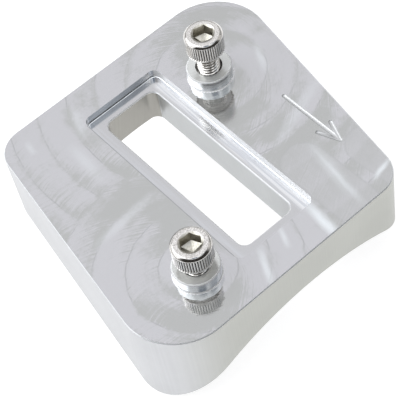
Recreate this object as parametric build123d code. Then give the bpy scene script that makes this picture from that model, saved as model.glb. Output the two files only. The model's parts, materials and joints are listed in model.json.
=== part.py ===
from build123d import *
import os
from math import cos, radians, sqrt, tan

# Machined mounting block: an aluminium block with a saddle below, a stepped window and two cap screws.
# Millimetres, +Z up. The origin lies under the middle of the window, level with the block's lowest points.
# The window, the engraved arrow and the saddle's axis all run along Y.

# Block, seen from above: two square ends joined by two leaning flanks
block_length = 80.7
block_width = 77.9
right_flank_lean = 8.0
left_flank_lean = 9.6
sharp_corner_radius = 15.0
blunt_corner_radius = 8.0
crown_thickness = 12.2
saddle_radius = 66.0
edge_break = 0.25

# Stepped window: a slot right through the block, in the floor of a shallow pocket
slot_length = 53.8
slot_width = 16.4
slot_corner_radius = 2.5
slot_edge_break = 0.3
ledge_at_sides = 3.9
ledge_at_ends = 3.4
pocket_depth = 2.5
pocket_corner_radius = 2.1
pocket_floor_radius = 0.35

# Two round bosses, standing on the top face and tapped for the screws
front_boss_x = 21.1
front_boss_from_end = 15.05
rear_boss_x = -20.8
rear_boss_from_end = 22.55
boss_radius = 6.0
boss_height = 3.5
boss_edge_break = 0.35
boss_root_radius = 0.3
hole_mouth_radius = 3.55
tapped_depth = 11.0
drilled_depth = 13.5
tap_drill_radius = 2.5
drill_point_angle = 118.0

# Socket head cap screws, M6 x 12, each only partly screwed in
thread_radius = 3.0
thread_clearance = 0.05
screw_length = 12.0
screw_tip_chamfer = 0.6
head_radius = 5.0
head_height = 6.0
head_top_chamfer = 0.6
head_base_chamfer = 0.35
neck_radius = 3.35
socket_across_flats = 5.0
socket_depth = 3.3
socket_cone_depth = 0.7
socket_cone_tip_radius = 0.4
socket_mouth_radius = 3.05
socket_mouth_depth = 0.33
front_screw_gap = 3.1
rear_screw_gap = 6.5
front_screw_turn = 56.0
rear_screw_turn = 45.0

# Straight knurl round each screw head
knurl_count = 48
knurl_depth = 0.22
knurl_top_margin = 0.85
knurl_base_margin = 0.7

# Direction arrow, milled into the top face with a ball-nosed cutter
arrow_x = -28.85
arrow_tail_y = 1.5
arrow_length = 20.4
arrow_head_length = 5.8
arrow_head_half_width = 2.25
arrow_cutter_radius = 0.7
arrow_depth = 0.3

# Levels and places that follow from the sizes above
half_length = block_length / 2
half_width = block_width / 2
widest_lean = radians(max(right_flank_lean, left_flank_lean))
foot_reach = (
    half_width
    + (half_length - sharp_corner_radius) * tan(widest_lean)
    + sharp_corner_radius * (1 - 1 / cos(widest_lean))
)
saddle_axis_z = -sqrt(saddle_radius**2 - foot_reach**2)
crown_z = saddle_axis_z + saddle_radius
top_z = crown_z + crown_thickness
ledge_z = top_z - pocket_depth
boss_top_z = top_z + boss_height
pocket_length = slot_length + 2 * ledge_at_ends
pocket_width = slot_width + 2 * ledge_at_sides
hole_radius = thread_radius + thread_clearance
front_boss_y = half_length - front_boss_from_end
rear_boss_y = rear_boss_from_end - half_length
boss_places = [(front_boss_x, front_boss_y), (rear_boss_x, rear_boss_y)]


def block_outline():
    """Outline from above: large radii on the sharp corners, small ones on the blunt corners."""
    right_shift = half_length * tan(radians(right_flank_lean))
    left_shift = half_length * tan(radians(left_flank_lean))
    outline = Polygon(
        (half_width + right_shift, half_length),
        (-half_width + left_shift, half_length),
        (-half_width - left_shift, -half_length),
        (half_width - right_shift, -half_length),
        align=None,
    )
    outline = fillet([v for v in outline.vertices() if v.X * v.Y > 0], sharp_corner_radius)
    return fillet([v for v in outline.vertices() if v.X * v.Y < 0], blunt_corner_radius)


def saddled_blank():
    """The block's body, with its top edge broken and the saddle milled along Y."""
    blank = extrude(block_outline(), amount=top_z)
    top_face = blank.faces().sort_by(Axis.Z)[-1]
    blank = chamfer(top_face.outer_wire().edges(), edge_break)
    saddle = Pos(0, 0, saddle_axis_z) * Rot(90, 0, 0) * Cylinder(saddle_radius, block_length * 1.2)
    return blank - saddle


def add_bosses(block):
    """Fuse the two bosses to the top face, each with a small root radius and a broken edge."""
    for x, y in boss_places:
        block += Pos(x, y, top_z) * extrude(Circle(boss_radius), amount=boss_height)

    def boss_circles(level):
        rings = block.edges().filter_by(GeomType.CIRCLE)
        return [e for e in rings if abs(e.radius - boss_radius) < 1e-4 and abs(e.center().Z - level) < 1e-4]

    block = fillet(boss_circles(top_z), boss_root_radius)
    return chamfer(boss_circles(boss_top_z), boss_edge_break)


def tapped_hole():
    """Blind tapped hole below z = 0: coned mouth, thread at full diameter, tap drill and its point."""
    point_height = tap_drill_radius / tan(radians(drill_point_angle / 2))
    profile = Polyline(
        (0, 0),
        (hole_mouth_radius, 0),
        (hole_radius, hole_radius - hole_mouth_radius),
        (hole_radius, -tapped_depth),
        (tap_drill_radius, -tapped_depth),
        (tap_drill_radius, -drilled_depth),
        (0, -drilled_depth - point_height),
        close=True,
    )
    return revolve(Plane.XZ * make_face(profile), Axis.Z)


def cut_window(block):
    """Cut the pocket and the slot through its floor, and break the slot's upper edge."""
    pocket_outline = RectangleRounded(pocket_width, pocket_length, pocket_corner_radius)
    pocket = extrude(pocket_outline, amount=pocket_depth)
    pocket = fillet(pocket.faces().sort_by(Axis.Z)[0].edges(), pocket_floor_radius)
    block -= Pos(0, 0, ledge_z) * pocket
    block -= extrude(RectangleRounded(slot_width, slot_length, slot_corner_radius), amount=ledge_z)
    flats = block.faces().filter_by(Axis.Z)
    ledge = [face for face in flats if abs(face.center().Z - ledge_z) < 1e-4][0]
    return chamfer(ledge.inner_wires()[0].edges(), slot_edge_break)


def arrow_stroke(start, end):
    """One groove of the arrow: the path of the ball-nosed cutter between two points."""
    path = Line((*start, 0), (*end, 0))
    rod = sweep(Plane(origin=path @ 0, z_dir=path % 0) * Circle(arrow_cutter_radius), path=path)
    balls = [Pos(*start) * Sphere(arrow_cutter_radius), Pos(*end) * Sphere(arrow_cutter_radius)]
    return Pos(0, 0, top_z + arrow_cutter_radius - arrow_depth) * (rod + balls)


def cut_arrow(block):
    """Engrave the arrow beside the window, pointing along +Y."""
    tip = (arrow_x, arrow_tail_y + arrow_length)
    barb_y = arrow_tail_y + arrow_length - arrow_head_length
    starts = [
        (arrow_x, arrow_tail_y),
        (arrow_x - arrow_head_half_width, barb_y),
        (arrow_x + arrow_head_half_width, barb_y),
    ]
    for start in starts:
        block -= arrow_stroke(start, tip)
    return block


def mounting_block():
    block = add_bosses(saddled_blank())
    for x, y in boss_places:
        block -= Pos(x, y, boss_top_z) * tapped_hole()
    block = cut_window(block)
    return cut_arrow(block)


def screw_blank():
    """Turned form of the screw, with the underside of its head at z = 0."""
    profile = Polyline(
        (0, -screw_length),
        (thread_radius - screw_tip_chamfer, -screw_length),
        (thread_radius, -screw_length + screw_tip_chamfer),
        (thread_radius, -(neck_radius - thread_radius)),
        (neck_radius, 0),
        (head_radius - head_base_chamfer, 0),
        (head_radius, head_base_chamfer),
        (head_radius, head_height - head_top_chamfer),
        (head_radius - head_top_chamfer, head_height),
        (0, head_height),
        close=True,
    )
    return revolve(Plane.XZ * make_face(profile), Axis.Z)


def knurl_flutes():
    """V-shaped flutes, evenly spaced round the head between two plain bands."""
    flute_length = head_height - knurl_top_margin - knurl_base_margin
    flute = Polygon(
        (head_radius - knurl_depth, 0),
        (head_radius + knurl_depth, -2 * knurl_depth),
        (head_radius + knurl_depth, 2 * knurl_depth),
        align=None,
    )
    cutters = [Rot(0, 0, 360 * i / knurl_count) * flute for i in range(knurl_count)]
    return [Pos(0, 0, knurl_base_margin) * extrude(cutter, amount=flute_length) for cutter in cutters]


def hex_socket():
    """Hexagon socket with a coned floor and a coned mouth, its mouth at z = 0."""
    inner_radius = socket_across_flats / 2
    hexagon = extrude(RegularPolygon(inner_radius / cos(radians(30)), 6), amount=-socket_depth)
    cone_z = -socket_depth - socket_cone_depth / 2
    floor_cone = Pos(0, 0, cone_z) * Cone(socket_cone_tip_radius, inner_radius, socket_cone_depth)
    mouth = Pos(0, 0, -socket_mouth_depth / 2) * Cone(inner_radius, socket_mouth_radius, socket_mouth_depth)
    return hexagon + floor_cone + mouth


def cap_screw():
    screw = screw_blank() - knurl_flutes()
    return screw - Pos(0, 0, head_height) * hex_socket()


def place_screw(screw, place, gap, turn):
    """Stand a screw in its boss, with its head a gap above the boss and turned about its own axis."""
    return Pos(*place, boss_top_z + gap) * Rot(0, 0, turn) * screw


screw = cap_screw()
nodes = {
    "mounting_block": mounting_block(),
    "cap_screw_front": place_screw(screw, boss_places[0], front_screw_gap, front_screw_turn),
    "cap_screw_rear": place_screw(screw, boss_places[1], rear_screw_gap, rear_screw_turn),
}

os.makedirs("parts", exist_ok=True)
for name, solid in nodes.items():
    export_step(solid, f"parts/{name}.step")
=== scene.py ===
import json
import math
import bmesh
import bpy
from mathutils import Matrix, Vector


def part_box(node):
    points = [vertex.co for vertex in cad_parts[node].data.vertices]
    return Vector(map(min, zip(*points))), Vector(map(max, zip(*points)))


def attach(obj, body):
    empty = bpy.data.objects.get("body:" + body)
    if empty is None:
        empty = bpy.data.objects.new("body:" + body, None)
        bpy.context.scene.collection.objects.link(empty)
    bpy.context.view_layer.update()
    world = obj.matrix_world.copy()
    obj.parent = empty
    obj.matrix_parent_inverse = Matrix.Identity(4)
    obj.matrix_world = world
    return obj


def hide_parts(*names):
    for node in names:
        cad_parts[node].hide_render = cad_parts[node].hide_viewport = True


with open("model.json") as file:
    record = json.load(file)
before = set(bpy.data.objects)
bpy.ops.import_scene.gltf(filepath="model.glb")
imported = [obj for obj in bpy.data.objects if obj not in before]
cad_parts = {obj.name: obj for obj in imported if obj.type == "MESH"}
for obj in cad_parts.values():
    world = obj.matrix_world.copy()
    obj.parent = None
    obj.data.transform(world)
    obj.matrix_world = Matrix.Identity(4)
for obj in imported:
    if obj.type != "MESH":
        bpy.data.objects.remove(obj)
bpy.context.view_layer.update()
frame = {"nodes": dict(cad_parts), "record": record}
mm = 0.001

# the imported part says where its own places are
mounts = {mount["name"]: mount for mount in frame["record"]["mounts"]}
topZ = mounts["top_face"]["pos_m"][2]
ledgeZ = mounts["pocket_ledge"]["pos_m"][2]
bossRadius = mounts["front_boss"]["dims"]["r_mm"] * mm
frontBoss = Vector(mounts["front_boss"]["pos_m"])
rearBoss = Vector(mounts["rear_boss"]["pos_m"])
blockLow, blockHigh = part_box("mounting_block")
bossTopZ = blockHigh.z

scalar, vector = "NodeSocketFloat", "NodeSocketVector"
# the strongest pull of large faces on the normals beside them
fullWeight = 100


def connect(tree, value, socket):
    if isinstance(value, bpy.types.NodeSocket):
        tree.links.new(value, socket)
    elif value is not None:
        socket.default_value = value


def addNode(tree, kind, *values, **settings):
    node = tree.nodes.new(kind)
    for name, value in settings.items():
        setattr(node, name, value)
    for socket, value in zip(node.inputs, values):
        connect(tree, value, socket)
    return node


def calc(tree, operation, *values):
    return addNode(tree, "ShaderNodeMath", *values, operation=operation).outputs[0]


def invert(tree, value):
    return calc(tree, "SUBTRACT", 1.0, value)


# noise and fractions run from 0 to 1, and this brings their middle to 0
def aboutZero(tree, value):
    return calc(tree, "SUBTRACT", value, 0.5)


def vectorCalc(tree, operation, *values):
    node = addNode(tree, "ShaderNodeVectorMath", *values, operation=operation)
    givesNumber = operation in ("DOT_PRODUCT", "LENGTH", "DISTANCE")
    return node.outputs["Value" if givesNumber else "Vector"]


def scaleVector(tree, value, factor):
    scaled = addNode(tree, "ShaderNodeVectorMath", value, operation="SCALE")
    connect(tree, factor, scaled.inputs["Scale"])
    return scaled.outputs[0]


# the way from a centre to a place, seen from above
def flatAway(tree, place, centre):
    return vectorCalc(tree, "MULTIPLY", vectorCalc(tree, "SUBTRACT", place, centre), (1, 1, 0))


def splitPlace(tree, place):
    return addNode(tree, "ShaderNodeSeparateXYZ", place).outputs


def smoothBand(tree, value, low, high):
    band = addNode(tree, "ShaderNodeMapRange", value, low, high, interpolation_type="SMOOTHSTEP")
    return band.outputs[0]


def mixNumber(tree, amount, first, second):
    return addNode(tree, "ShaderNodeMix", amount, None, first, second).outputs[0]


def mixColour(tree, amount, first, second):
    mix = addNode(tree, "ShaderNodeMix", amount, data_type="RGBA")
    connect(tree, first, mix.inputs[6])
    connect(tree, second, mix.inputs[7])
    return mix.outputs[2]


def addNoise(tree, place, scale, detail):
    noise = addNode(tree, "ShaderNodeTexNoise", place)
    connect(tree, scale, noise.inputs["Scale"])
    connect(tree, detail, noise.inputs["Detail"])
    return noise.outputs


def lineNoise(tree, run, detail, roughness=0.5):
    noise = addNode(tree, "ShaderNodeTexNoise", noise_dimensions="1D")
    for label, value in {"W": run, "Scale": 1.0, "Detail": detail, "Roughness": roughness}.items():
        connect(tree, value, noise.inputs[label])
    return noise.outputs[0]


def newGroup(name, inputs, outputs, kind="ShaderNodeTree"):
    group = bpy.data.node_groups.new(name, kind)
    for label, socketKind in inputs.items():
        group.interface.new_socket(label, in_out="INPUT", socket_type=socketKind)
    for label, socketKind in outputs.items():
        group.interface.new_socket(label, in_out="OUTPUT", socket_type=socketKind)
    return group, group.nodes.new("NodeGroupInput"), group.nodes.new("NodeGroupOutput")


def useGroup(tree, group, **values):
    node = tree.nodes.new("ShaderNodeGroup")
    node.node_tree = group
    for label, value in values.items():
        connect(tree, value, node.inputs[label])
    return node.outputs


def newMaterial(name, metallic=1.0, roughness=0.3):
    material = bpy.data.materials.new(name)
    material.use_nodes = True
    tree = material.node_tree
    shader = tree.nodes["Principled BSDF"]
    shader.inputs["Metallic"].default_value = metallic
    shader.inputs["Roughness"].default_value = roughness
    return material, tree, shader


def addBump(tree, shader, height, distance):
    bump = addNode(tree, "ShaderNodeBump")
    connect(tree, distance * mm, bump.inputs["Distance"])
    connect(tree, height, bump.inputs["Height"])
    connect(tree, bump.outputs[0], shader.inputs["Normal"])


def placeInMillimetres(tree):
    coordinates = tree.nodes.new("ShaderNodeTexCoord").outputs["Object"]
    return vectorCalc(tree, "MULTIPLY", coordinates, (1 / mm,) * 3)


def addToScene(name, data):
    thing = bpy.data.objects.new(name, data)
    bpy.context.scene.collection.objects.link(thing)
    return thing


def followFlatFaces(piece):
    weighted = piece.modifiers.new("flat faces lead", "WEIGHTED_NORMAL")
    weighted.keep_sharp = True
    weighted.weight = fullWeight


def grey(level, warmth=0.0):
    return (level * (1 + warmth), level, level * (1 - warmth), 1.0)


passForm = {
    "scratchDetail": 3.0, "scratchRoughness": 0.65, "leastLag": 0.01, "laneTurn": 2.3, "laneShare": -0.3,
    "softEdge": (0.36, 0.5), "softLoss": 0.75, "seamEdge": (0.46, 0.498),
}
# the numbers that the group below is given, and where the face's look keeps them
passInputs = {"Rear Start": "rearStart", "Front Start": "frontStart", "Front Reach": "frontReach",
              "Step Over": "stepOver", "Cutter Radius": "cutterRadius", "Feed": "feed", "Bright Angle": "brightAngle"}


# Facing passes run in rings round the two bosses, a step-over apart, and each leaves the arcs of the cutter's
# trailing edge. Sheen is painted sheen set by the direction of those arcs, Hatch their spacing, and Seam the line
# between passes.
def buildFacingPasses():
    form = passForm
    inputs = {"Place": vector, "Rear": vector, "Front": vector, **{label: scalar for label in passInputs}}
    outputs = {label: scalar for label in ("Sheen", "Seam", "Hatch")}
    group, given, result = newGroup("facingPasses", inputs, outputs)
    stepOver, cutter = given.outputs["Step Over"], given.outputs["Cutter Radius"]

    def ringAround(centre, start):
        flat = flatAway(group, given.outputs["Place"], given.outputs[centre])
        reach = vectorCalc(group, "LENGTH", flat)
        x, y, z = splitPlace(group, flat)
        return calc(group, "SUBTRACT", reach, given.outputs[start]), reach, calc(group, "ARCTAN2", y, x)

    rear, rearReach, rearTurn = ringAround("Rear", "Rear Start")
    front, frontReach, frontTurn = ringAround("Front", "Front Start")
    isRear = calc(group, "MAXIMUM", calc(group, "LESS_THAN", rear, front),
                  calc(group, "GREATER_THAN", frontReach, given.outputs["Front Reach"]))
    reach = mixNumber(group, isRear, frontReach, rearReach)
    turn = mixNumber(group, isRear, frontTurn, rearTurn)
    lane = calc(group, "DIVIDE", mixNumber(group, isRear, front, rear), stepOver)
    across = aboutZero(group, calc(group, "FRACT", lane))
    offset = calc(group, "MULTIPLY", across, stepOver)
    # the trailing edge lags behind the cutter's middle by the depth of its arc
    sunk = calc(group, "SUBTRACT", calc(group, "MULTIPLY", cutter, cutter), calc(group, "MULTIPLY", offset, offset))
    lag = calc(group, "SQRT", calc(group, "MAXIMUM", sunk, form["leastLag"]))
    run = calc(group, "MULTIPLY_ADD", reach, turn, lag)
    scratches = lineNoise(group, calc(group, "DIVIDE", run, given.outputs["Feed"]), form["scratchDetail"],
                          form["scratchRoughness"])
    connect(group, aboutZero(group, scratches), result.inputs["Hatch"])
    # an arc shines alike from both of its ends, so its angle counts twice
    lean = calc(group, "ARCSINE", calc(group, "DIVIDE", offset, cutter))
    slant = calc(group, "ADD", calc(group, "ADD", turn, lean), given.outputs["Bright Angle"])
    shine = calc(group, "COSINE", calc(group, "MULTIPLY", slant, 2.0))
    # neighbouring lanes differ a little
    cast = calc(group, "SINE", calc(group, "MULTIPLY_ADD", calc(group, "FLOOR", lane), form["laneTurn"], isRear))
    sheen = calc(group, "MULTIPLY_ADD", cast, form["laneShare"], shine)
    edge = calc(group, "ABSOLUTE", across)
    soft = invert(group, calc(group, "MULTIPLY", smoothBand(group, edge, *form["softEdge"]), form["softLoss"]))
    connect(group, calc(group, "MULTIPLY", sheen, soft), result.inputs["Sheen"])
    connect(group, smoothBand(group, edge, *form["seamEdge"]), result.inputs["Seam"])
    return group


# how far a place lies from the line between two points, and how far along that line its nearest point is
def buildStroke():
    group, given, result = newGroup("stroke", {"Place": vector, "From": vector, "To": vector},
                                    {"Miss": scalar, "Share": scalar})
    span = vectorCalc(group, "SUBTRACT", given.outputs["To"], given.outputs["From"])
    flat = flatAway(group, given.outputs["Place"], given.outputs["From"])
    along = vectorCalc(group, "DOT_PRODUCT", flat, span)
    size = vectorCalc(group, "DOT_PRODUCT", span, span)
    share = addNode(group, "ShaderNodeClamp", calc(group, "DIVIDE", along, size)).outputs[0]
    miss = vectorCalc(group, "DISTANCE", flat, scaleVector(group, span, share))
    connect(group, miss, result.inputs["Miss"])
    connect(group, share, result.inputs["Share"])
    return group


# how much the lines and the cloud count in the shade of a tool-lined face, and the shades between which it changes
lineForm = {"lineDetail": 3.0, "cloudScale": 0.09, "cloudDetail": 2.0, "lineShare": 0.4, "cloudShare": 0.6,
            "shades": (0.3, 0.7)}


# fine parallel tool lines of uneven depth, spaced along the given direction, and a slow cloud
def buildToolLines():
    form = lineForm
    inputs = {"Place": vector, "Across": vector, "Pitch": scalar}
    group, given, result = newGroup("toolLines", inputs, {"Lines": scalar, "Cloud": scalar})
    run = vectorCalc(group, "DOT_PRODUCT", given.outputs["Place"], given.outputs["Across"])
    lines = lineNoise(group, calc(group, "DIVIDE", run, given.outputs["Pitch"]), form["lineDetail"])
    cloud = addNoise(group, given.outputs["Place"], form["cloudScale"], form["cloudDetail"])[0]
    connect(group, lines, result.inputs["Lines"])
    connect(group, cloud, result.inputs["Cloud"])
    return group


# how far a place lies from the nearer boss's axis
def distanceFromBoss(tree, place):
    reaches = [vectorCalc(tree, "LENGTH", flatAway(tree, place, tuple(boss / mm))) for boss in (rearBoss, frontBoss)]
    return calc(tree, "MINIMUM", *reaches)


facingPasses = buildFacingPasses()
stroke = buildStroke()
toolLines = buildToolLines()
print("finish groups built")

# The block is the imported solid, welded, with a finish for each kind of face. Touch says how near counts as being on
# a level, skin how far below the top face starts what isn't part of it.
blockForm = {
    "weld": 0.00005 * mm, "sharpAngle": 28.0, "flatNormal": 0.9999, "slotHalf": (8.2 * mm, 26.9 * mm),
    "pocketHalf": (12.1 * mm, 30.3 * mm), "slack": 0.15 * mm, "slotEdge": 0.5 * mm, "blend": 3.0 * mm,
    "halfWidth": 38.95 * mm, "lean": 0.155, "tintBlend": (-3.0, 24.0), "touch": 0.02 * mm, "skin": 0.01 * mm,
    "boreShare": 0.62, "bossReach": 2.0 * mm, "bossRimDepth": 0.4 * mm, "topNormal": 0.995, "facing": 0.5,
    "endFacing": 0.3, "edgeSlope": 0.2, "wallSlope": 0.1,
    "arrow": (-29.0 * mm, 12.0 * mm), "arrowReach": (6.0 * mm, 12.0 * mm),
}
# aluminium finish of the top face, with a painted sheen and painted highlight streaks, in millimetres
facedLook = {
    "paleToneAndSheen": (0.585, 0.582, 0.605, 1.0), "dullToneAndSheen": (0.485, 0.49, 0.485, 1.0),
    "seamMetal": (0.41, 0.415, 0.42, 1.0), "sheenStreakColour": (0.86, 0.90, 0.93, 1.0),
    "burrMetal": (0.36, 0.37, 0.38, 1.0), "metallic": 0.8, "roughness": (0.05, 0.16), "clearRadius": (9.0, 20.0),
    "hatch": 0.6, "hatchGain": (1.6, 0.5), "sheen": 0.28, "seam": 0.6, "contrast": (0.25, 0.75),
    "rings": 0.3, "ringSpacing": 1.5, "ringDetail": 3.0, "ringPitch": 0.7, "ringHeight": 0.009, "fineRingDetail": 2.0,
    "burr": (0.12, 0.3), "burrStart": -0.05, "burrShort": 2.0, "grain": 1.3, "grainDetail": 3.0, "grainShare": 0.36,
    "rearStart": 6.5, "frontStart": 1.4, "frontReach": 33.4, "stepOver": 8.0, "cutterRadius": 8.5, "feed": 0.75,
    "brightAngle": math.radians(30), "drift": 0.16, "driftDetail": 4.0, "wander": 1.3, "patches": (0.42, 0.62),
    "passEdge": 0.4, "passRim": (0.9, 0.1), "passCover": 0.75, "passCast": 0.5, "passSeam": 0.3,
}
# pale streaks of painted highlight along marks the cutter left: start, end, half width, strength
sheenStreaks = [
    ((-18.3, 37.5), (-22.8, 17.0), 2.6, 0.3), ((-18.4, 41.0), (-22.4, 17.0), 1.5, 0.5),
    ((-7.6, 47.0), (-9.6, 27.5), 2.2, 0.85),
    ((13.0, 43.0), (6.5, 30.5), 1.5, 0.55), ((2.4, 37.0), (-0.5, 29.5), 1.2, 0.45),
    ((-33.0, 35.0), (-24.5, 37.2), 1.1, 0.75), ((-30.0, -6.5), (-35.5, -17.0), 1.8, 0.35),
    ((27.0, -35.5), (28.2, -30.0), 1.5, 0.25), ((21.0, -10.0), (20.0, -27.0), 2.6, 0.22),
    ((16.0, -24.0), (11.5, -36.0), 2.2, 0.25), ((-42.0, 3.0), (-14.0, 13.0), 2.4, 0.2),
    ((14.0, 1.0), (36.0, 3.0), 2.0, 0.22),
]
# straight passes with round ends: start, end, half width
straightPasses = [((-17.5, 21.0), (-17.5, 50.0), 6.2), ((-32.0, 28.5), (-33.5, 50.0), 6.3)]


# how pale the marks of the ring passes are, from their own tone and a painted sheen, and how much of a place belongs
# to a seam between two of them
def addRingPasses(tree, place, wandered, nearBoss, drift):
    look = facedLook
    passes = useGroup(tree, facingPasses, Place=wandered, Rear=tuple(rearBoss / mm), Front=tuple(frontBoss / mm),
                      **{label: look[key] for label, key in passInputs.items()})
    patchy = smoothBand(tree, drift, *look["patches"])
    rings = lineNoise(tree, calc(tree, "DIVIDE", nearBoss, look["ringSpacing"]), look["ringDetail"])
    ringed = calc(tree, "MULTIPLY", aboutZero(tree, rings), look["rings"])
    grain = addNoise(tree, place, look["grain"], look["grainDetail"])[0]
    rough = calc(tree, "MULTIPLY", passes["Hatch"], calc(tree, "MULTIPLY_ADD", patchy, *look["hatchGain"]))
    rough = calc(tree, "MULTIPLY_ADD", aboutZero(tree, grain), look["grainShare"],
                 calc(tree, "MULTIPLY", rough, look["hatch"]))
    # painted sheen from the direction of the cutter's arcs, laid over the face's own drift, rings and grain
    cast = calc(tree, "MULTIPLY_ADD", passes["Sheen"], look["sheen"], drift)
    cast = calc(tree, "ADD", calc(tree, "ADD", cast, ringed), rough)
    return cast, calc(tree, "MULTIPLY", passes["Seam"], calc(tree, "MULTIPLY", patchy, look["seam"]))


def addStraightPasses(tree, wandered, cast, seam):
    look = facedLook
    for begin, end, radius in straightPasses:
        miss = useGroup(tree, stroke, Place=wandered, From=(*begin, 0), To=(*end, 0))["Miss"]
        covered = invert(tree, smoothBand(tree, miss, radius - look["passEdge"], radius))
        rim = smoothBand(tree, miss, *(radius - inset for inset in look["passRim"]))
        rim = calc(tree, "MULTIPLY", covered, rim)
        cast = mixNumber(tree, calc(tree, "MULTIPLY", covered, look["passCover"]), cast, look["passCast"])
        seam = calc(tree, "MAXIMUM", calc(tree, "MULTIPLY", seam, invert(tree, covered)),
                    calc(tree, "MULTIPLY", rim, look["passSeam"]))
    return cast, seam


def addSheenStreaks(tree, wandered):
    streaks = []
    for begin, end, width, strength in sheenStreaks:
        near = useGroup(tree, stroke, Place=wandered, From=(*begin, 0), To=(*end, 0))
        ends = calc(tree, "SINE", calc(tree, "MULTIPLY", near["Share"], math.pi))
        body = invert(tree, smoothBand(tree, calc(tree, "DIVIDE", near["Miss"], width), 0.0, 1.0))
        streaks.append(calc(tree, "MULTIPLY", calc(tree, "MULTIPLY", body, ends), strength))
    strongest = streaks[0]
    for streak in streaks[1:]:
        strongest = calc(tree, "MAXIMUM", strongest, streak)
    return strongest


# a fine burr stands along the far long edge of the pocket
def addBurr(tree, place):
    look = facedLook
    x, y, z = splitPlace(tree, place)
    halfWide, halfLong = (half / mm for half in blockForm["pocketHalf"])
    fromEdge = calc(tree, "SUBTRACT", x, halfWide)
    burr = invert(tree, smoothBand(tree, fromEdge, *look["burr"]))
    beside = calc(tree, "LESS_THAN", calc(tree, "ABSOLUTE", y), halfLong - look["burrShort"])
    outside = calc(tree, "GREATER_THAN", fromEdge, look["burrStart"])
    return calc(tree, "MULTIPLY", calc(tree, "MULTIPLY", burr, beside), outside)


def makeFacedTop():
    look = facedLook
    material, tree, shader = newMaterial("facedTop", look["metallic"])
    place = placeInMillimetres(tree)
    drift = addNoise(tree, place, look["drift"], look["driftDetail"])
    wander = vectorCalc(tree, "MULTIPLY", drift["Color"], (look["wander"], look["wander"], 0.0))
    wandered = vectorCalc(tree, "ADD", place, wander)
    nearBoss = distanceFromBoss(tree, wandered)
    cast, seam = addRingPasses(tree, place, wandered, nearBoss, drift[0])
    cast, seam = addStraightPasses(tree, wandered, cast, seam)
    # pale and dull mix the metal's own tone with its painted sheen
    colour = mixColour(tree, smoothBand(tree, cast, *look["contrast"]), look["dullToneAndSheen"], look["paleToneAndSheen"])
    colour = mixColour(tree, seam, colour, look["seamMetal"])
    # pale streaks of painted highlight along the cutter's marks
    colour = mixColour(tree, addSheenStreaks(tree, wandered), colour, look["sheenStreakColour"])
    colour = mixColour(tree, addBurr(tree, place), colour, look["burrMetal"])
    connect(tree, colour, shader.inputs["Base Color"])
    # the face is smoothest round the bosses
    clear, full = look["roughness"]
    spread = smoothBand(tree, nearBoss, *look["clearRadius"])
    connect(tree, calc(tree, "MULTIPLY_ADD", spread, full - clear, clear), shader.inputs["Roughness"])
    # finer rings there break up what the face mirrors
    fineRings = lineNoise(tree, calc(tree, "DIVIDE", nearBoss, look["ringPitch"]), look["fineRingDetail"])
    addBump(tree, shader, calc(tree, "MULTIPLY", fineRings, invert(tree, spread)), look["ringHeight"])
    return material


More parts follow.
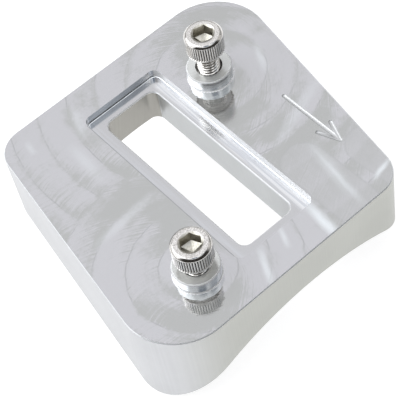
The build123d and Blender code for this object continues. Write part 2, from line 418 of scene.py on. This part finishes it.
# metal is the colour, spread how far the lines part from it, across the direction the lines are spaced along
wallLooks = {
    # the square ends of the outer wall are painted darker and less blue than the flanks: painted shade on the side
    # the light reaches less
    "outerWall": {"metal": (0.59, 0.595, 0.61, 1.0), "shadedEndColour": (0.50, 0.505, 0.475, 1.0), "spread": 0.035,
                  "roughness": 0.38, "across": (1.0, 1.0, 0.0), "pitch": 0.35, "height": 0.0012},
    # painted near white with little metal: a painted highlight along this side of the pocket
    "pocketSide": {"metal": (0.90, 0.90, 0.905, 1.0), "spread": 0.05, "roughness": 0.45, "across": (0.0, 0.12, 1.0),
                   "pitch": 0.5, "height": 0.002, "metallic": 0.2},
    "pocketWall": {"metal": (0.76, 0.785, 0.81, 1.0), "spread": 0.3, "roughness": 0.16, "across": (0.12, 0.0, 1.0),
                   "pitch": 0.35, "height": 0.004},
    "slotWall": {"metal": (0.64, 0.655, 0.66, 1.0), "nearMetal": (0.57, 0.575, 0.585, 1.0), "spread": 0.04,
                 "roughness": 0.35, "across": (0.6, 1.0, 0.2), "pitch": 0.4, "height": 0.0012, "metallic": 0.6},
    # painted dark and warm: painted shade for the shadowed floor this end wall mirrors beneath the block
    "slotEnd": {"metal": (0.40, 0.39, 0.36, 1.0), "spread": 0.04, "roughness": 0.35, "across": (1.0, 0.0, 0.2),
                "pitch": 0.6, "height": 0.001},
    "saddleBore": {"metal": grey(0.6), "spread": 0.06, "roughness": 0.34, "across": (1.0, 0.0, 1.0),
                   "pitch": 0.3, "height": 0.0012},
    "brokenEdge": {"metal": (0.80, 0.81, 0.83, 1.0), "spread": 0.03, "roughness": 0.3, "across": (1.0, 1.0, 1.0),
                   "pitch": 0.6, "height": 0.0008, "metallic": 0.4},
    "engraving": {"metal": (0.58, 0.585, 0.59, 1.0), "barbMetal": (0.50, 0.505, 0.51, 1.0), "spread": 0.06,
                  "roughness": 0.34, "across": (1.0, 1.0, 0.0), "pitch": 0.4, "height": 0.001, "metallic": 0.6},
    "dullEdge": {"metal": grey(0.74), "spread": 0.03, "roughness": 0.5, "across": (1.0, 1.0, 1.0),
                 "pitch": 0.6, "height": 0.0008, "metallic": 0.15},
    # the foot of each boss is painted near white: painted light over the shade in the crease
    "bossWall": {"metal": (0.80, 0.82, 0.84, 1.0), "litRootColour": (0.96, 0.965, 0.97, 1.0), "rootBand": (0.15, 0.6),
                 "rootMetallic": 0.05, "spread": 0.2, "roughness": 0.15, "across": (0.06, 0.1, 1.0), "pitch": 0.35,
                 "height": 0.016},
    # painted near white with no metal: painted light in place of the dark band the rim would mirror
    "bossRim": {"metal": (0.95, 0.955, 0.96, 1.0), "spread": 0.04, "roughness": 0.5, "across": (1.0, 1.0, 1.0),
                "pitch": 0.6, "height": 0.0008, "metallic": 0.0},
    "bossTop": {"metal": (0.70, 0.71, 0.70, 1.0), "spread": 0.12, "roughness": 0.2, "across": (0.5, 1.0, 0.0),
                "pitch": 0.4, "height": 0.003, "metallic": 0.6},
    "boredHole": {"metal": grey(0.35, 0.02), "spread": 0.1, "roughness": 0.4, "across": (0.0, 0.0, 1.0),
                  "pitch": 0.25, "height": 0.006},
}
# where the slot's walls turn duller towards the near end, and where the arrow's dull barb starts beside its shaft
dullFrom, barbFrom = (20.0, 25.5), (-28.5, -28.1)


# how much of an outer wall's place belongs to the square ends rather than to the leaning flanks
def shareOfEnd(tree, place):
    form = blockForm
    x, y, z = splitPlace(tree, place)
    leaned = calc(tree, "MULTIPLY_ADD", y, -form["lean"], x)
    fromFlank = calc(tree, "SUBTRACT", form["halfWidth"] / mm, leaned)
    fromEnd = calc(tree, "SUBTRACT", blockHigh.y / mm, calc(tree, "ABSOLUTE", y))
    return smoothBand(tree, calc(tree, "SUBTRACT", fromFlank, fromEnd), *form["tintBlend"])


def makeToolLined(name, look):
    form = lineForm
    material, tree, shader = newMaterial(name, look.get("metallic", 1.0), look["roughness"])
    place = placeInMillimetres(tree)
    x, y, z = splitPlace(tree, place)
    lined = useGroup(tree, toolLines, Place=place, Across=look["across"], Pitch=look["pitch"])
    colour = look["metal"]
    # painted shade on the square ends
    if "shadedEndColour" in look:
        colour = mixColour(tree, shareOfEnd(tree, place), look["metal"], look["shadedEndColour"])
    if "nearMetal" in look:
        colour = mixColour(tree, smoothBand(tree, y, *dullFrom), look["metal"], look["nearMetal"])
    if "rootBand" in look:
        # the small curve at the foot of each boss is made matt and painted near white: painted light over the shade
        # in that crease
        lifted = smoothBand(tree, calc(tree, "SUBTRACT", z, topZ / mm), *look["rootBand"])
        metallic = calc(tree, "MULTIPLY_ADD", lifted, 1.0 - look["rootMetallic"], look["rootMetallic"])
        connect(tree, metallic, shader.inputs["Metallic"])
        colour = mixColour(tree, lifted, look["litRootColour"], look["metal"])
    if "barbMetal" in look:
        colour = mixColour(tree, smoothBand(tree, x, *barbFrom), look["metal"], look["barbMetal"])
    if colour is look["metal"]:
        colour = colour[:3]
    shade = calc(tree, "MULTIPLY_ADD", lined["Lines"], form["lineShare"],
                 calc(tree, "MULTIPLY", lined["Cloud"], form["cloudShare"]))
    gain = calc(tree, "MULTIPLY_ADD", smoothBand(tree, shade, *form["shades"]), 2 * look["spread"],
                1 - look["spread"])
    connect(tree, scaleVector(tree, colour, gain), shader.inputs["Base Color"])
    addBump(tree, shader, lined["Lines"], look["height"])
    return material


# the pocket's floor: strokes along its length, with a painted highlight beside the wall on the arrow's side
ledgeLook = {
    "metal": (0.56, 0.56, 0.575, 1.0), "bright": (0.81, 0.82, 0.84, 1.0), "streak": (0.66, 0.68, 0.72, 1.0),
    "roughness": 0.14, "stretch": (1.4, 0.05, 0.0), "strokeDetail": 2.0, "strokeBand": (0.42, 0.62),
    "brightEdge": (8.2, 10.0), "farEnd": (-29.0, -26.0), "paleRim": (9.0, 10.4), "rimBand": (0.35, 0.6),
    "rimShare": 0.4,
}


def makePocketFloor():
    look = ledgeLook
    material, tree, shader = newMaterial("pocketFloor", roughness=look["roughness"])
    place = placeInMillimetres(tree)
    x, y, z = splitPlace(tree, place)
    strokes = addNoise(tree, vectorCalc(tree, "MULTIPLY", place, look["stretch"]), 1.0, look["strokeDetail"])[0]
    # painted highlight on the floor beside the wall on the arrow's side
    side = smoothBand(tree, calc(tree, "MULTIPLY", x, -1.0), *look["brightEdge"])
    side = calc(tree, "MULTIPLY", side, smoothBand(tree, y, *look["farEnd"]))
    pale = mixColour(tree, smoothBand(tree, strokes, *look["strokeBand"]), look["bright"], look["streak"])
    colour = mixColour(tree, side, look["metal"], pale)
    rim = calc(tree, "MULTIPLY", smoothBand(tree, x, *look["paleRim"]), smoothBand(tree, strokes, *look["rimBand"]))
    colour = mixColour(tree, calc(tree, "MULTIPLY", rim, look["rimShare"]), colour, look["streak"])
    connect(tree, colour, shader.inputs["Base Color"])
    return material


blockFinishes = ["facedTop", "pocketFloor", *wallLooks]


def isWithin(centre, middle, reach):
    return all(abs(centre[i] - middle[i]) < reach[i] for i in (0, 1))


def finishOfFace(normal, centre):
    form = blockForm
    insidePocket = isWithin(centre, (0, 0), [half + form["slack"] for half in form["pocketHalf"]])
    insideSlot = isWithin(centre, (0, 0), [half + form["slotEdge"] for half in form["slotHalf"]])
    fromBoss = min((centre.xy - boss.xy).length for boss in (frontBoss, rearBoss))
    facesFar = normal.x > form["facing"]
    if fromBoss < form["boreShare"] * bossRadius and centre.z < bossTopZ - form["touch"]:
        return "boredHole"
    if centre.z > topZ + form["touch"] and fromBoss < bossRadius + form["bossReach"]:
        if normal.z > form["topNormal"]:
            return "bossTop"
        isRim = centre.z > bossTopZ - form["bossRimDepth"] and normal.z > form["facing"]
        return "bossRim" if isRim else "bossWall"
    if insidePocket and abs(centre.z - ledgeZ) < form["touch"]:
        return "pocketFloor"
    if insideSlot and centre.z < ledgeZ:
        if centre.z > ledgeZ - form["slotEdge"] and abs(normal.z) > form["edgeSlope"]:
            return "brokenEdge" if facesFar else "dullEdge"
        isEnd = centre.y < form["blend"] - form["slotHalf"][1] and normal.y > form["endFacing"]
        return "slotEnd" if isEnd else "slotWall"
    if insidePocket and centre.z < topZ - form["skin"]:
        return "pocketSide" if facesFar else "pocketWall"
    if centre.z > topZ - form["skin"]:
        return "facedTop"
    if normal.z < -form["edgeSlope"]:
        return "saddleBore"
    if isWithin(centre, form["arrow"], form["arrowReach"]):
        return "engraving"
    return "outerWall" if abs(normal.z) < form["wallSlope"] else "brokenEdge"


def makeFinish(name):
    if name == "facedTop":
        return makeFacedTop()
    return makePocketFloor() if name == "pocketFloor" else makeToolLined(name, wallLooks[name])


def buildBlock():
    mesh = frame["nodes"]["mounting_block"].data.copy()
    mesh.materials.clear()
    for name in blockFinishes:
        mesh.materials.append(makeFinish(name))
    work = bmesh.new()
    work.from_mesh(mesh)
    bmesh.ops.remove_doubles(work, verts=work.verts, dist=blockForm["weld"])
    work.to_mesh(mesh)
    work.free()
    mesh.set_sharp_from_angle(angle=math.radians(blockForm["sharpAngle"]))
    for face in mesh.polygons:
        face.material_index = blockFinishes.index(finishOfFace(face.normal, face.center))
        face.use_smooth = abs(face.normal.z) < blockForm["flatNormal"]
    block = addToScene("milled_block", mesh)
    followFlatFaces(block)
    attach(block, "root")
    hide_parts("mounting_block")


buildBlock()
print("block dressed")

# sizes in millimetres: ease and bend are how far the turned corners are drawn back
screwForm = {
    "headRadius": 5.0, "headHeight": 6.0, "topChamfer": 0.75, "baseChamfer": 0.35, "ease": 0.05, "bend": 0.03,
    "flutes": 48, "fluteDepth": 0.26, "fluteTop": 0.92, "fluteBase": 0.65, "fluteLead": 0.12, "fluteCrest": 0.24,
    "threadRadius": 2.96, "pitch": 1.0, "threadDepth": 0.58, "threadFlank": (0.14, 0.78), "length": 12.0,
    "tipRadii": (0.0, 1.9, 2.35), "tipGap": 0.05, "leadIn": 0.6, "leadDrop": 0.6, "runOut": 0.5, "threadTop": -0.55,
    "neck": ((2.96, -0.4), (3.02, -0.2), (3.12, -0.07), (3.3, 0.0)),
    "socketFlats": 5.0, "socketDepth": 3.3, "coneDepth": 0.7, "coneRadius": 0.35, "mouthRadius": 3.05,
    "mouthDepths": (0.33, 0.45), "mouthSlope": 0.6, "mouthBand": 0.4, "crownDepth": 0.76,
    "segments": 288, "threadSteps": 12, "weld": 0.001, "sharpAngle": 32.0,
}
screwTurns = {"cap_screw_front": 56.0, "cap_screw_rear": 45.0}


# Stations of the turned form run from the tip up, round the head and down into the socket. Each gives the radius,
# the height above the underside of the head, and how much of the thread, knurl and hexagon it takes.
def screwStations():
    form = screwForm
    top, head, mouth, apothem = form["headHeight"], form["headRadius"], form["mouthRadius"], form["socketFlats"] / 2
    base, crest, ease, bend = form["baseChamfer"], form["topChamfer"], form["ease"], form["bend"]

    def plain(outline):
        return [(radius, z, 0, 0, 0) for radius, z in outline]

    stations = plain((radius, -form["length"]) for radius in form["tipRadii"])
    threadLow, threadHigh = form["tipGap"] - form["length"], form["threadTop"]
    steps = round((threadHigh - threadLow) * form["threadSteps"] / form["pitch"])
    for i in range(steps + 1):
        z = threadLow + (threadHigh - threadLow) * i / steps
        lead = min(1.0, (z - threadLow) / form["leadIn"])
        runOut = min(1.0, (threadHigh - z) / form["runOut"])
        stations.append((form["threadRadius"] - form["leadDrop"] * (1 - lead), z, min(lead, runOut), 0, 0))
    knurlLow, knurlHigh = form["fluteBase"], top - form["fluteTop"]
    stations += plain(form["neck"])
    stations += plain([(head - base - ease, 0), (head - base + bend, bend), (head - bend, base - bend),
                       (head, base + ease), (head, knurlLow)])
    stations += [(head, z, 0, 1, 0) for z in (knurlLow + form["fluteLead"], knurlHigh - form["fluteLead"])]
    stations += plain([(head, knurlHigh), (head, top - crest - ease), (head - bend, top - crest + bend),
                       (head - crest + bend, top - bend), (head - crest - ease, top), (mouth + ease, top),
                       (mouth - bend, top - bend)])
    floor = top - form["socketDepth"]
    tip = floor - form["coneDepth"]
    socket = [(apothem, top - depth) for depth in form["mouthDepths"]]
    socket += [(apothem, floor + ease), (apothem - ease, floor), (form["coneRadius"], tip)]
    stations += [(radius, z, 0, 0, 1) for radius, z in socket]
    return stations + plain([(0.0, tip - ease)])


def turnedBlank():
    stations, count = screwStations(), screwForm["segments"]
    mesh = bpy.data.meshes.new("turned_blank")
    points, faces = [], []
    for radius, z, *_ in stations:
        for i in range(count):
            angle = 2 * math.pi * i / count
            points.append((radius * math.cos(angle) * mm, radius * math.sin(angle) * mm, z * mm))
    for row in range(len(stations) - 1):
        for i in range(count):
            j = (i + 1) % count
            low, high = row * count, (row + 1) * count
            faces.append((low + i, low + j, high + j, high + i))
    mesh.from_pydata(points, [], faces)
    for place, label in enumerate(("threaded", "knurled", "broached")):
        weights = mesh.attributes.new(label, "FLOAT", "POINT")
        weights.data.foreach_set("value", [station[2 + place] for station in stations for _ in range(count)])
    return mesh


# geometry nodes cut the thread, the knurl and the hexagon into the turned blank
def buildScrewCuts():
    form = screwForm
    sizes = ["Flutes", "Flute Depth", "Pitch", "Thread Depth", "Mouth Radius", "Top"]
    inputs = {"Geometry": "NodeSocketGeometry", **{label: scalar for label in sizes},
              **{label: "NodeSocketMaterial" for label in ("Head Metal", "Side Metal", "Socket Metal")}}
    group, given, result = newGroup("screwCuts", inputs, {"Geometry": "NodeSocketGeometry"}, "GeometryNodeTree")
    x, y, z = splitPlace(group, group.nodes.new("GeometryNodeInputPosition").outputs[0])
    reach = calc(group, "SQRT", calc(group, "ADD", calc(group, "MULTIPLY", x, x), calc(group, "MULTIPLY", y, y)))
    angle = calc(group, "ARCTAN2", y, x)
    turns = calc(group, "DIVIDE", angle, 2 * math.pi)

    def weight(label):
        node = addNode(group, "GeometryNodeInputNamedAttribute", label, data_type="FLOAT")
        return node.outputs["Attribute"]

    def belowTop(depth):
        return calc(group, "SUBTRACT", given.outputs["Top"], depth * mm)

    # V-shaped flutes with a narrow flat crest
    halfFlutes = calc(group, "MULTIPLY", given.outputs["Flutes"], 2.0)
    flute = calc(group, "PINGPONG", calc(group, "MULTIPLY", turns, halfFlutes), 1.0)
    flute = addNode(group, "ShaderNodeMapRange", flute, form["fluteCrest"], 1.0).outputs[0]
    fluteCut = calc(group, "MULTIPLY", flute, given.outputs["Flute Depth"])
    fluteCut = calc(group, "MULTIPLY", fluteCut, weight("knurled"))
    # right-hand thread: flat crest, straight flanks, flat root
    phase = calc(group, "FRACT", calc(group, "SUBTRACT", calc(group, "DIVIDE", z, given.outputs["Pitch"]), turns))
    valley = invert(group, calc(group, "ABSOLUTE", calc(group, "MULTIPLY_ADD", phase, 2.0, -1.0)))
    valley = addNode(group, "ShaderNodeMapRange", valley, *form["threadFlank"]).outputs[0]
    threadCut = calc(group, "MULTIPLY", valley, given.outputs["Thread Depth"])
    threadCut = calc(group, "MULTIPLY", threadCut, weight("threaded"))
    # the hexagon's corners stand out from the bored circle
    halfSide = math.pi / 6
    fromFlat = calc(group, "SUBTRACT", halfSide, calc(group, "PINGPONG", angle, halfSide))
    swell = calc(group, "SUBTRACT", calc(group, "DIVIDE", 1.0, calc(group, "COSINE", fromFlat)), 1.0)
    hexagon = calc(group, "MULTIPLY_ADD", calc(group, "MULTIPLY", swell, weight("broached")), reach, reach)
    newReach = calc(group, "SUBTRACT", calc(group, "SUBTRACT", hexagon, fluteCut), threadCut)
    # the coned mouth rises to meet each corner
    toMouth = calc(group, "SUBTRACT", given.outputs["Mouth Radius"], newReach)
    mouthZ = calc(group, "SUBTRACT", given.outputs["Top"], calc(group, "MULTIPLY", toMouth, form["mouthSlope"]))
    isMouth = calc(group, "MULTIPLY", weight("broached"),
                   calc(group, "GREATER_THAN", z, belowTop(form["mouthBand"])))
    newZ = calc(group, "ADD", z, calc(group, "MULTIPLY", isMouth, calc(group, "SUBTRACT", mouthZ, z)))
    place = addNode(group, "ShaderNodeCombineXYZ", calc(group, "MULTIPLY", newReach, calc(group, "COSINE", angle)),
                    calc(group, "MULTIPLY", newReach, calc(group, "SINE", angle)), newZ).outputs[0]
    moved = addNode(group, "GeometryNodeSetPosition", given.outputs["Geometry"])
    connect(group, place, moved.inputs["Position"])
    welded = addNode(group, "GeometryNodeMergeByDistance", moved.outputs[0])
    connect(group, form["weld"] * mm, welded.inputs["Distance"])
    real = addNode(group, "GeometryNodeRealizeInstances", welded.outputs[0])
    dressed = addNode(group, "GeometryNodeSetMaterial", real.outputs[0])
    connect(group, given.outputs["Head Metal"], dressed.inputs["Material"])
    isSide = calc(group, "LESS_THAN", z, belowTop(form["crownDepth"]))
    for label, chosen in (("Side Metal", isSide), ("Socket Metal", weight("broached"))):
        dressed = addNode(group, "GeometryNodeSetMaterial", dressed.outputs[0], chosen)
        connect(group, given.outputs[label], dressed.inputs["Material"])
    connect(group, dressed.outputs[0], result.inputs["Geometry"])
    return group


screwLook = {
    "headMetal": {"metal": (0.84, 0.82, 0.80, 1.0), "shade": (0.56, 0.54, 0.52, 1.0), "roughness": 0.11,
                  "grain": 3.4, "height": 0.003},
    "sideMetal": {"metal": (0.82, 0.805, 0.78, 1.0), "shade": (0.66, 0.64, 0.61, 1.0), "roughness": 0.1,
                  # painted shade in the roots of the thread and the knurl
                  "grain": 3.0, "height": 0.002, "grooveShade": (0.20, 0.178, 0.155, 1.0),
                  "threadGroove": (2.5, 2.8), "knurlGroove": (4.78, 4.95), "headFrom": (4.45, 4.6),
                  # painted light: the seat under the head, which looks down into shade, is painted near white
                  "litSeatColour": (0.97, 0.935, 0.89, 1.0), "underFrom": (3.1, 3.3), "underMetallic": 0.2},
    "socketMetal": {"metal": (0.60, 0.58, 0.53, 1.0), "shade": (0.46, 0.44, 0.38, 1.0), "roughness": 0.3,
                    "grain": 2.0, "height": 0.002},
}
# how fine the grain of the metals is, and the part of it over which shade turns to metal
grainForm = {"detail": 3.0, "band": (0.35, 0.65)}


def makeScrewMetal(name):
    look = screwLook[name]
    material, tree, shader = newMaterial(name, roughness=look["roughness"])
    place = placeInMillimetres(tree)
    grain = addNoise(tree, place, look["grain"], grainForm["detail"])[0]
    colour = mixColour(tree, smoothBand(tree, grain, *grainForm["band"]), look["shade"], look["metal"])
    if "grooveShade" in look:
        # the roots of the thread and the knurl are painted dark as painted shade, and the seat under the head is
        # turned matt and painted near white as painted light
        reach = distanceFromBoss(tree, place)
        onHead = smoothBand(tree, reach, *look["headFrom"])
        root = invert(tree, smoothBand(tree, reach, *look["threadGroove"]))
        flute = calc(tree, "MULTIPLY", onHead, invert(tree, smoothBand(tree, reach, *look["knurlGroove"])))
        colour = mixColour(tree, calc(tree, "ADD", root, flute), colour, look["grooveShade"])
        seat = calc(tree, "MULTIPLY", smoothBand(tree, reach, *look["underFrom"]), invert(tree, onHead))
        colour = mixColour(tree, seat, colour, look["litSeatColour"])
        metallic = calc(tree, "MULTIPLY_ADD", seat, look["underMetallic"] - 1.0, 1.0)
        connect(tree, metallic, shader.inputs["Metallic"])
    connect(tree, colour, shader.inputs["Base Color"])
    addBump(tree, shader, grain, look["height"])
    return material


def buildScrew(node, screwCuts, metals):
    form = screwForm
    low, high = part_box(node)
    centre = (low + high) / 2
    blank = addToScene(node + "_blank", turnedBlank())
    modifier = blank.modifiers.new("cuts", "NODES")
    modifier.node_group = screwCuts
    values = {"Flutes": float(form["flutes"]), "Flute Depth": form["fluteDepth"] * mm, "Pitch": form["pitch"] * mm,
              "Thread Depth": form["threadDepth"] * mm, "Mouth Radius": form["mouthRadius"] * mm,
              "Top": form["headHeight"] * mm}
    values.update(zip(("Head Metal", "Side Metal", "Socket Metal"), metals))
    for item in screwCuts.interface.items_tree:
        if item.in_out == "INPUT" and item.name in values:
            modifier[item.identifier] = values[item.name]
    shown = blank.evaluated_get(bpy.context.evaluated_depsgraph_get())
    mesh = bpy.data.meshes.new_from_object(shown)
    bpy.data.objects.remove(blank)
    mesh.transform(Matrix.Translation((centre.x, centre.y, high.z - form["headHeight"] * mm))
                   @ Matrix.Rotation(math.radians(screwTurns[node]), 4, "Z"))
    work = bmesh.new()
    work.from_mesh(mesh)
    bmesh.ops.recalc_face_normals(work, faces=work.faces)
    for face in work.faces:
        face.smooth = True
    work.to_mesh(mesh)
    work.free()
    mesh.set_sharp_from_angle(angle=math.radians(form["sharpAngle"]))
    screw = addToScene(node.replace("cap_screw", "socket_screw"), mesh)
    followFlatFaces(screw)
    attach(screw, "root")
    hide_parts(node)
    return screw


screwCuts = buildScrewCuts()
screwMetals = [makeScrewMetal(name) for name in screwLook]
for node in screwTurns:
    screw = buildScrew(node, screwCuts, screwMetals)
    print("screw", screw.name, len(screw.data.polygons), "faces")

# reach in metres, paper what the floor scatters, lift what is added where it is seen or mirrored
floorLook = {"reach": 3.0, "paper": 0.4, "lift": 0.8}


def buildFloor():
    mesh = bpy.data.meshes.new("floor")
    reach, level = floorLook["reach"], floorLook["paper"]
    corners = [(-reach, -reach, 0), (reach, -reach, 0), (reach, reach, 0), (-reach, reach, 0)]
    mesh.from_pydata(corners, [], [(0, 1, 2, 3)])
    floor = addToScene("floor", mesh)
    floor.location.z = blockLow.z
    material = bpy.data.materials.new("paleFloor")
    material.use_nodes = True
    tree = material.node_tree
    tree.nodes.clear()
    paper = addNode(tree, "ShaderNodeBsdfDiffuse", (level, level, level, 1))
    rays = tree.nodes.new("ShaderNodeLightPath").outputs
    mirrored = calc(tree, "MAXIMUM", rays["Is Glossy Ray"], rays["Is Transmission Ray"])
    seen = calc(tree, "MAXIMUM", rays["Is Camera Ray"], mirrored)
    lift = addNode(tree, "ShaderNodeEmission", (1, 1, 1, 1), calc(tree, "MULTIPLY", seen, floorLook["lift"]))
    both = addNode(tree, "ShaderNodeAddShader", paper.outputs[0], lift.outputs[0])
    addNode(tree, "ShaderNodeOutputMaterial", both.outputs[0])
    mesh.materials.append(material)


# The room has pale walls and ceiling, and patches that are brighter or dimmer. Azimuth and elevation are in degrees:
# side says how far from the azimuth a patch is full and gone, low and high where it starts and ends in height.
worldLook = {"walls": (0.45, 0.45, 0.445, 1), "ceiling": (0.62, 0.625, 0.64, 1), "rise": (20.0, 60.0)}
roomPatches = {
    "bright ceiling in front": {"azimuth": 50.0, "side": (98.0, 124.0), "low": (42.0, 50.0), "high": (110.0, 120.0),
                                "colour": (1.25, 1.27, 1.3, 1)},
    "window": {"azimuth": -40.0, "side": (36.0, 54.0), "low": (30.0, 42.0), "high": (66.0, 78.0),
               "colour": (1.95, 2.0, 2.05, 1)},
    "dim low front": {"azimuth": 68.0, "side": (60.0, 80.0), "low": (2.0, 10.0), "high": (38.0, 45.0),
                      "colour": (0.04, 0.038, 0.035, 1)},
    "doorway": {"azimuth": 122.0, "side": (10.0, 30.0), "low": (44.0, 48.0), "high": (62.0, 70.0),
                    "colour": (0.62, 0.66, 0.70, 1)},
    "camera stand": {"azimuth": 64.0, "side": (10.0, 24.0), "low": (45.0, 50.0), "high": (58.0, 64.0),
                     "colour": (0.26, 0.31, 0.38, 1)},
}
# direction is azimuth and elevation in degrees, size and distance in metres, glow is the radiance seen
softLights = {
    "left_softbox": {"azimuth": -42.0, "elevation": 34.0, "distance": 0.7, "size": (0.85, 0.7), "glow": 1.1,
                     "colour": (0.97, 0.985, 1.0)},
    "top_softbox": {"azimuth": 236.0, "elevation": 66.0, "distance": 0.8, "size": (1.0, 0.9), "glow": 0.42,
                    "colour": (0.99, 0.99, 1.0)},
    "right_strip": {"azimuth": 158.0, "elevation": 25.0, "distance": 0.8, "size": (0.3, 0.5), "glow": 0.25,
                    "colour": (1.0, 0.96, 0.9)},
}


def direction(azimuth, elevation):
    turn, rise = math.radians(azimuth), math.radians(elevation)
    return Vector((math.cos(rise) * math.cos(turn), math.cos(rise) * math.sin(turn), math.sin(rise)))


def buildLights():
    target = Vector((0, 0, topZ))
    for name, look in softLights.items():
        data = bpy.data.lights.new(name, "AREA")
        data.shape = "RECTANGLE"
        data.size, data.size_y = look["size"]
        data.energy = look["glow"] * math.pi * data.size * data.size_y
        data.color = look["colour"]
        light = addToScene(name, data)
        away = direction(look["azimuth"], look["elevation"])
        light.location = target + away * look["distance"]
        light.rotation_euler = away.to_track_quat("Z", "Y").to_euler()


def buildWorld():
    look = worldLook
    world = bpy.data.worlds.new("studio")
    bpy.context.scene.world = world
    world.use_nodes = True
    tree = world.node_tree
    tree.nodes.clear()
    toward = tree.nodes.new("ShaderNodeTexCoord").outputs["Generated"]
    level = vectorCalc(tree, "NORMALIZE", vectorCalc(tree, "MULTIPLY", toward, (1, 1, 0)))
    height = calc(tree, "ARCSINE", splitPlace(tree, toward)[2])

    def above(edges):
        return smoothBand(tree, height, *(math.radians(edge) for edge in edges))

    room = mixColour(tree, above(look["rise"]), look["walls"], look["ceiling"])
    for patch in roomPatches.values():
        facing = vectorCalc(tree, "DOT_PRODUCT", level, direction(patch["azimuth"], 0))
        full, gone = (math.cos(math.radians(side)) for side in patch["side"])
        inside = calc(tree, "MULTIPLY", above(patch["low"]), invert(tree, above(patch["high"])))
        inside = calc(tree, "MULTIPLY", inside, smoothBand(tree, facing, gone, full))
        room = mixColour(tree, inside, room, patch["colour"])
    background = addNode(tree, "ShaderNodeBackground", room, 1.0)
    addNode(tree, "ShaderNodeOutputWorld", background.outputs[0])


# angles in degrees, distance, aim and clip in metres, lens and sensor in millimetres
cameraPlace = {
    "azimuth": 59.451, "elevation": 54.328, "roll": -12.853, "distance": 0.344, "aim": (0.00723, 0.01023),
    "lens": 127.47, "sensor": 36.0, "clip": 0.01,
}


def buildCamera():
    look = cameraPlace
    away = direction(look["azimuth"], look["elevation"])
    right = Vector((0, 0, 1)).cross(away).normalized()
    roll = math.radians(look["roll"])
    turned = math.cos(roll) * right + math.sin(roll) * away.cross(right)
    data = bpy.data.cameras.new("camera")
    data.lens = look["lens"]
    data.sensor_width = look["sensor"]
    data.clip_start = look["clip"]
    camera = addToScene("camera", data)
    place = Vector((*look["aim"], topZ)) + away * look["distance"]
    axes = Matrix((turned, away.cross(turned), away)).transposed()
    camera.matrix_world = Matrix.Translation(place) @ axes.to_4x4()
    bpy.context.scene.camera = camera


buildFloor()
buildLights()
buildWorld()
buildCamera()
bpy.context.scene.view_settings.view_transform = "Standard"
print("stage lit")
